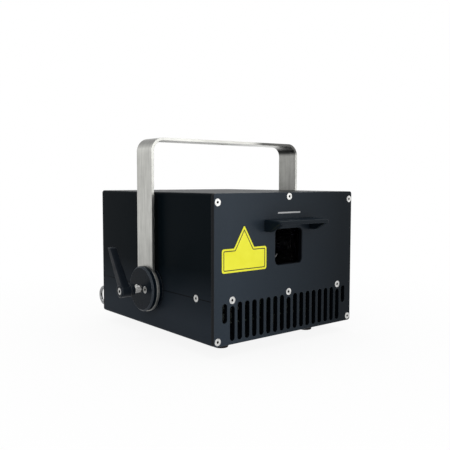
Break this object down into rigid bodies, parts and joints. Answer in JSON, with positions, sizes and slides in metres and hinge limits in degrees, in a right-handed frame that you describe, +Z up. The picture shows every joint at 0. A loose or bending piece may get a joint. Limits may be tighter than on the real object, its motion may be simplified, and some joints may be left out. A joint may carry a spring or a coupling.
{
  "type": "laser show projector",
  "caption": "Box-shaped laser show projector with a slotted front panel, hooded beam window, tilting strap yoke with clamping levers, and rear fan and connectors.",
  "frame": {"origin": "on the floor under the middle of the whole object's box, with the yoke upright", "axes": "+X to the right as seen from the front, -Y out of the front where the beam leaves, +Z up"},
  "size_m": [0.3046, 0.278, 0.22],
  "materials": {
    "front_anodised": "dark blue-grey anodised, fine satin grain",
    "black_shell": "black anodised, satin",
    "bare_aluminium": "milled",
    "yoke_steel": "brushed along the strap",
    "disc_anodised": "dark grey anodised, turned",
    "washer_plastic": "matt",
    "plated_steel": "zinc plated",
    "lever_plastic": "fine grain moulding",
    "foot_rubber": "matt",
    "window_glass": "coated, clear",
    "mirror_coating": "polished",
    "fan_plastic": "moulded",
    "guard_chrome": "bright plated",
    "connector_metal": "tinned",
    "connector_plastic": "moulded",
    "tab_plastic": "moulded",
    "galvo_steel": "turned",
    "red_head": "anodised",
    "green_head": "anodised",
    "blue_head": "anodised",
    "board_laminate": "solder mask",
    "supply_case": "plain sheet"
  },
  "bodies": {
    "housing": {"aperture_hood": "black_shell", "aperture_window": "window_glass", "blue_laser": "blue_head", "board_standoffs": "plated_steel", "combining_mirrors": "window_glass", "connector_screws": "plated_steel", "control_board": "board_laminate", "control_in": "connector_plastic", "control_out": "connector_plastic", "driver_boards": "board_laminate", "fan_frame": "fan_plastic", "fan_guard": "guard_chrome", "fan_screws": "plated_steel", "foot_screws": "plated_steel", "friction_washers": "washer_plastic", "front_panel": "front_anodised", "front_panel_screws": "plated_steel", "galvo_motors": "galvo_steel", "green_laser": "green_head", "hood_screws": "plated_steel", "key_switch": "guard_chrome", "key_switch_nut": "guard_chrome", "lower_pan": "black_shell", "mains_inlet": "connector_plastic", "mirror_posts": "bare_aluminium", "optical_baseplate": "bare_aluminium", "pivot_block_screws": "plated_steel", "pivot_blocks": "bare_aluminium", "power_supply": "supply_case", "rear_panel": "black_shell", "rear_panel_screws": "plated_steel", "red_laser": "red_head", "rubber_feet": "foot_rubber", "safety_eye": "plated_steel", "safety_eye_nut": "plated_steel", "scanner_block": "bare_aluminium", "side_screws": "plated_steel", "signal_in": "connector_metal", "signal_out": "connector_metal", "signal_posts": "plated_steel", "upper_cover": "black_shell", "window_frame": "bare_aluminium"},
    "bracket": {"yoke_bracket": "yoke_steel", "left_disc": "disc_anodised", "right_disc": "disc_anodised", "left_spacer": "disc_anodised", "right_spacer": "disc_anodised", "disc_screws": "plated_steel"},
    "left_stud": {"left_stud": "plated_steel", "left_lever_screw": "plated_steel"},
    "left_lever": {"left_lever": "lever_plastic"},
    "right_stud": {"right_stud": "plated_steel", "right_lever_screw": "plated_steel"},
    "right_lever": {"right_lever": "lever_plastic"},
    "fan_rotor": {"fan_rotor": "fan_plastic"},
    "x_mirror": {"x_mirror": "mirror_coating"},
    "y_mirror": {"y_mirror": "mirror_coating"},
    "power_rocker": {"power_rocker": "connector_plastic"},
    "key_barrel": {"key_barrel": "guard_chrome"},
    "release_tab": {"release_tab": "tab_plastic"}
  },
  "joints": [
    {"name": "bracket_tilt", "type": "hinge", "parent": "housing", "child": "bracket", "pos_m": [0, -0.0035, 0.0566], "axis": [1, 0, 0], "range_deg": [-105, 105]},
    {"name": "left_lever_turn", "type": "hinge", "parent": "housing", "child": "left_stud", "pos_m": [-0.12, -0.0035, 0.0566], "axis": [1, 0, 0], "range_deg": [-90, 90]},
    {"name": "left_lever_lift", "type": "slide", "parent": "left_stud", "child": "left_lever", "axis": [-1, 0, 0], "range_m": [0, 0.004], "stiffness_N_per_m": 1500, "springref_m": -0.002},
    {"name": "right_lever_turn", "type": "hinge", "parent": "housing", "child": "right_stud", "pos_m": [0.12, -0.0035, 0.0566], "axis": [1, 0, 0], "range_deg": [-90, 90]},
    {"name": "right_lever_lift", "type": "slide", "parent": "right_stud", "child": "right_lever", "axis": [1, 0, 0], "range_m": [0, 0.004], "stiffness_N_per_m": 1500, "springref_m": -0.002},
    {"name": "fan_spin", "type": "hinge", "parent": "housing", "child": "fan_rotor", "pos_m": [0.048, 0.095, 0.1098], "axis": [0, 1, 0], "continuous": true},
    {"name": "x_galvo_turn", "type": "hinge", "parent": "housing", "child": "x_mirror", "pos_m": [0, -0.0905, 0.09325], "axis": [0, 1, 0], "range_deg": [-12, 12]},
    {"name": "y_galvo_turn", "type": "hinge", "parent": "housing", "child": "y_mirror", "pos_m": [0, -0.0905, 0.10525], "axis": [1, 0, 0], "range_deg": [-12, 12]},
    {"name": "power_rocker_tip", "type": "hinge", "parent": "housing", "child": "power_rocker", "pos_m": [0.0735, 0.1095, 0.0345], "axis": [1, 0, 0], "range_deg": [-12, 0]},
    {"name": "key_turn", "type": "hinge", "parent": "housing", "child": "key_barrel", "pos_m": [-0.071, 0.107, 0.08623], "axis": [0, 1, 0], "range_deg": [0, 90]},
    {"name": "release_tab_press", "type": "slide", "parent": "housing", "child": "release_tab", "axis": [0, -1, 0], "range_m": [0, 0.0015], "stiffness_N_per_m": 800, "springref_m": -0.001}
  ]
}
